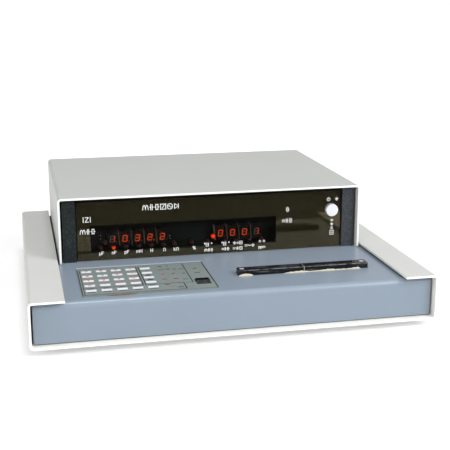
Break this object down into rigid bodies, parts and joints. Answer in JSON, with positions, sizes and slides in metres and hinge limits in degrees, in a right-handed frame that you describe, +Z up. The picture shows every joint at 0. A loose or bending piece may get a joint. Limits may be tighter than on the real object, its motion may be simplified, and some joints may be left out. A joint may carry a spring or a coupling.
{
  "type": "bench lcr meter",
  "caption": "Low bench instrument for measuring inductors, capacitors and resistors: a wide base with keypad and test fixture, and a raised rear display hood.",
  "frame": {"origin": "on the surface the feet stand on, midway between the two sides and between the front and rear edges", "axes": "+X to the right as the user faces the keypad, +Y towards the rear panel, +Z up"},
  "size_m": [0.375, 0.343, 0.112],
  "materials": {
    "white_enamel": "fine satin enamel",
    "blue_grey_enamel": "fine satin enamel",
    "rear_enamel": "satin enamel",
    "slate_enamel": "fine matt speckle",
    "smoked_sheet": "polished smoked acrylic",
    "mask_black": "matt black",
    "board_green": "solder resist over glass laminate",
    "digit_black": "dark moulded module",
    "lamp_red": "clear red lens",
    "overlay_film": "printed grey-green film",
    "key_white": "smooth white",
    "switch_black": "moulded black",
    "button_black": "smooth black",
    "button_white": "smooth white",
    "jaw_black": "moulded black phenolic",
    "guard_metal": "cut plate",
    "contact_brass": "plated spring leaf",
    "gasket_cream": "soft cream",
    "foot_rubber": "matt rubber",
    "screw_steel": "plated",
    "pillar_nylon": "natural nylon",
    "core_steel": "varnished laminations",
    "capacitor_sleeve": "shrunk sleeve",
    "bare_aluminium": "extruded",
    "inlet_black": "moulded black",
    "ribbon_grey": "flat ribbed cable"
  },
  "bodies": {
    "instrument": {"base_wrap": "white_enamel", "display_hood": "white_enamel", "deck_cover": "blue_grey_enamel", "rear_panel": "rear_enamel", "display_side_trims": "slate_enamel", "display_window": "smoked_sheet", "display_mask": "mask_black", "display_board": "board_green", "keypad_board": "board_green", "main_board": "board_green", "digit_displays": "digit_black", "indicator_leds": "lamp_red", "keypad_leds": "lamp_red", "keypad_overlay": "overlay_film", "key_switches": "switch_black", "power_switch": "switch_black", "board_chips": "switch_black", "fixture_jaw_left": "jaw_black", "fixture_jaw_right": "jaw_black", "fixture_divider": "guard_metal", "fixture_contacts": "contact_brass", "fixture_gasket": "gasket_cream", "feet": "foot_rubber", "fixture_screws": "screw_steel", "foot_screws": "screw_steel", "panel_screws": "screw_steel", "board_standoffs": "pillar_nylon", "power_transformer": "core_steel", "smoothing_capacitors": "capacitor_sleeve", "regulator_heatsink": "bare_aluminium", "mains_inlet": "inlet_black", "fuse_holder": "inlet_black", "ribbon_cables": "ribbon_grey"},
    "key_row1_col1": {"key_row1_col1": "key_white"},
    "key_row1_col2": {"key_row1_col2": "key_white"},
    "key_row1_col3": {"key_row1_col3": "key_white"},
    "key_row1_col4": {"key_row1_col4": "key_white"},
    "key_row1_col5": {"key_row1_col5": "key_white"},
    "key_row2_col1": {"key_row2_col1": "key_white"},
    "key_row2_col2": {"key_row2_col2": "key_white"},
    "key_row2_col3": {"key_row2_col3": "key_white"},
    "key_row2_col4": {"key_row2_col4": "key_white"},
    "key_row2_col5": {"key_row2_col5": "key_white"},
    "key_row3_col1": {"key_row3_col1": "key_white"},
    "key_row3_col2": {"key_row3_col2": "key_white"},
    "key_row3_col3": {"key_row3_col3": "key_white"},
    "key_row3_col4": {"key_row3_col4": "key_white"},
    "key_row3_col5": {"key_row3_col5": "key_white"},
    "key_row4_col1": {"key_row4_col1": "key_white"},
    "key_row4_col2": {"key_row4_col2": "key_white"},
    "key_row4_col3": {"key_row4_col3": "key_white"},
    "key_row4_col4": {"key_row4_col4": "key_white"},
    "key_row4_col5": {"key_row4_col5": "key_white"},
    "key_row5_col1": {"key_row5_col1": "key_white"},
    "key_row5_col2": {"key_row5_col2": "key_white"},
    "key_row5_col3": {"key_row5_col3": "key_white"},
    "key_row5_col4": {"key_row5_col4": "key_white"},
    "key_row5_col5": {"key_row5_col5": "key_white"},
    "start_button": {"start_button": "button_black"},
    "power_button": {"power_button": "button_white"}
  },
  "joints": [
    {"name": "key_row1_col1_press", "type": "slide", "parent": "instrument", "child": "key_row1_col1", "axis": [0, 0, -1], "range_m": [0, 0.0006], "stiffness_N_per_m": 300, "springref_m": -0.0008},
    {"name": "key_row1_col2_press", "type": "slide", "parent": "instrument", "child": "key_row1_col2", "axis": [0, 0, -1], "range_m": [0, 0.0006], "stiffness_N_per_m": 300, "springref_m": -0.0008},
    {"name": "key_row1_col3_press", "type": "slide", "parent": "instrument", "child": "key_row1_col3", "axis": [0, 0, -1], "range_m": [0, 0.0006], "stiffness_N_per_m": 300, "springref_m": -0.0008},
    {"name": "key_row1_col4_press", "type": "slide", "parent": "instrument", "child": "key_row1_col4", "axis": [0, 0, -1], "range_m": [0, 0.0006], "stiffness_N_per_m": 300, "springref_m": -0.0008},
    {"name": "key_row1_col5_press", "type": "slide", "parent": "instrument", "child": "key_row1_col5", "axis": [0, 0, -1], "range_m": [0, 0.0006], "stiffness_N_per_m": 300, "springref_m": -0.0008},
    {"name": "key_row2_col1_press", "type": "slide", "parent": "instrument", "child": "key_row2_col1", "axis": [0, 0, -1], "range_m": [0, 0.0006], "stiffness_N_per_m": 300, "springref_m": -0.0008},
    {"name": "key_row2_col2_press", "type": "slide", "parent": "instrument", "child": "key_row2_col2", "axis": [0, 0, -1], "range_m": [0, 0.0006], "stiffness_N_per_m": 300, "springref_m": -0.0008},
    {"name": "key_row2_col3_press", "type": "slide", "parent": "instrument", "child": "key_row2_col3", "axis": [0, 0, -1], "range_m": [0, 0.0006], "stiffness_N_per_m": 300, "springref_m": -0.0008},
    {"name": "key_row2_col4_press", "type": "slide", "parent": "instrument", "child": "key_row2_col4", "axis": [0, 0, -1], "range_m": [0, 0.0006], "stiffness_N_per_m": 300, "springref_m": -0.0008},
    {"name": "key_row2_col5_press", "type": "slide", "parent": "instrument", "child": "key_row2_col5", "axis": [0, 0, -1], "range_m": [0, 0.0006], "stiffness_N_per_m": 300, "springref_m": -0.0008},
    {"name": "key_row3_col1_press", "type": "slide", "parent": "instrument", "child": "key_row3_col1", "axis": [0, 0, -1], "range_m": [0, 0.0006], "stiffness_N_per_m": 300, "springref_m": -0.0008},
    {"name": "key_row3_col2_press", "type": "slide", "parent": "instrument", "child": "key_row3_col2", "axis": [0, 0, -1], "range_m": [0, 0.0006], "stiffness_N_per_m": 300, "springref_m": -0.0008},
    {"name": "key_row3_col3_press", "type": "slide", "parent": "instrument", "child": "key_row3_col3", "axis": [0, 0, -1], "range_m": [0, 0.0006], "stiffness_N_per_m": 300, "springref_m": -0.0008},
    {"name": "key_row3_col4_press", "type": "slide", "parent": "instrument", "child": "key_row3_col4", "axis": [0, 0, -1], "range_m": [0, 0.0006], "stiffness_N_per_m": 300, "springref_m": -0.0008},
    {"name": "key_row3_col5_press", "type": "slide", "parent": "instrument", "child": "key_row3_col5", "axis": [0, 0, -1], "range_m": [0, 0.0006], "stiffness_N_per_m": 300, "springref_m": -0.0008},
    {"name": "key_row4_col1_press", "type": "slide", "parent": "instrument", "child": "key_row4_col1", "axis": [0, 0, -1], "range_m": [0, 0.0006], "stiffness_N_per_m": 300, "springref_m": -0.0008},
    {"name": "key_row4_col2_press", "type": "slide", "parent": "instrument", "child": "key_row4_col2", "axis": [0, 0, -1], "range_m": [0, 0.0006], "stiffness_N_per_m": 300, "springref_m": -0.0008},
    {"name": "key_row4_col3_press", "type": "slide", "parent": "instrument", "child": "key_row4_col3", "axis": [0, 0, -1], "range_m": [0, 0.0006], "stiffness_N_per_m": 300, "springref_m": -0.0008},
    {"name": "key_row4_col4_press", "type": "slide", "parent": "instrument", "child": "key_row4_col4", "axis": [0, 0, -1], "range_m": [0, 0.0006], "stiffness_N_per_m": 300, "springref_m": -0.0008},
    {"name": "key_row4_col5_press", "type": "slide", "parent": "instrument", "child": "key_row4_col5", "axis": [0, 0, -1], "range_m": [0, 0.0006], "stiffness_N_per_m": 300, "springref_m": -0.0008},
    {"name": "key_row5_col1_press", "type": "slide", "parent": "instrument", "child": "key_row5_col1", "axis": [0, 0, -1], "range_m": [0, 0.0006], "stiffness_N_per_m": 300, "springref_m": -0.0008},
    {"name": "key_row5_col2_press", "type": "slide", "parent": "instrument", "child": "key_row5_col2", "axis": [0, 0, -1], "range_m": [0, 0.0006], "stiffness_N_per_m": 300, "springref_m": -0.0008},
    {"name": "key_row5_col3_press", "type": "slide", "parent": "instrument", "child": "key_row5_col3", "axis": [0, 0, -1], "range_m": [0, 0.0006], "stiffness_N_per_m": 300, "springref_m": -0.0008},
    {"name": "key_row5_col4_press", "type": "slide", "parent": "instrument", "child": "key_row5_col4", "axis": [0, 0, -1], "range_m": [0, 0.0006], "stiffness_N_per_m": 300, "springref_m": -0.0008},
    {"name": "key_row5_col5_press", "type": "slide", "parent": "instrument", "child": "key_row5_col5", "axis": [0, 0, -1], "range_m": [0, 0.0006], "stiffness_N_per_m": 300, "springref_m": -0.0008},
    {"name": "start_press", "type": "slide", "parent": "instrument", "child": "start_button", "axis": [0, 0, -1], "range_m": [0, 0.002], "stiffness_N_per_m": 300, "springref_m": -0.002},
    {"name": "power_press", "type": "slide", "parent": "instrument", "child": "power_button", "axis": [0, 1, 0], "range_m": [-0.003, 0.0008], "stiffness_N_per_m": 300}
  ]
}
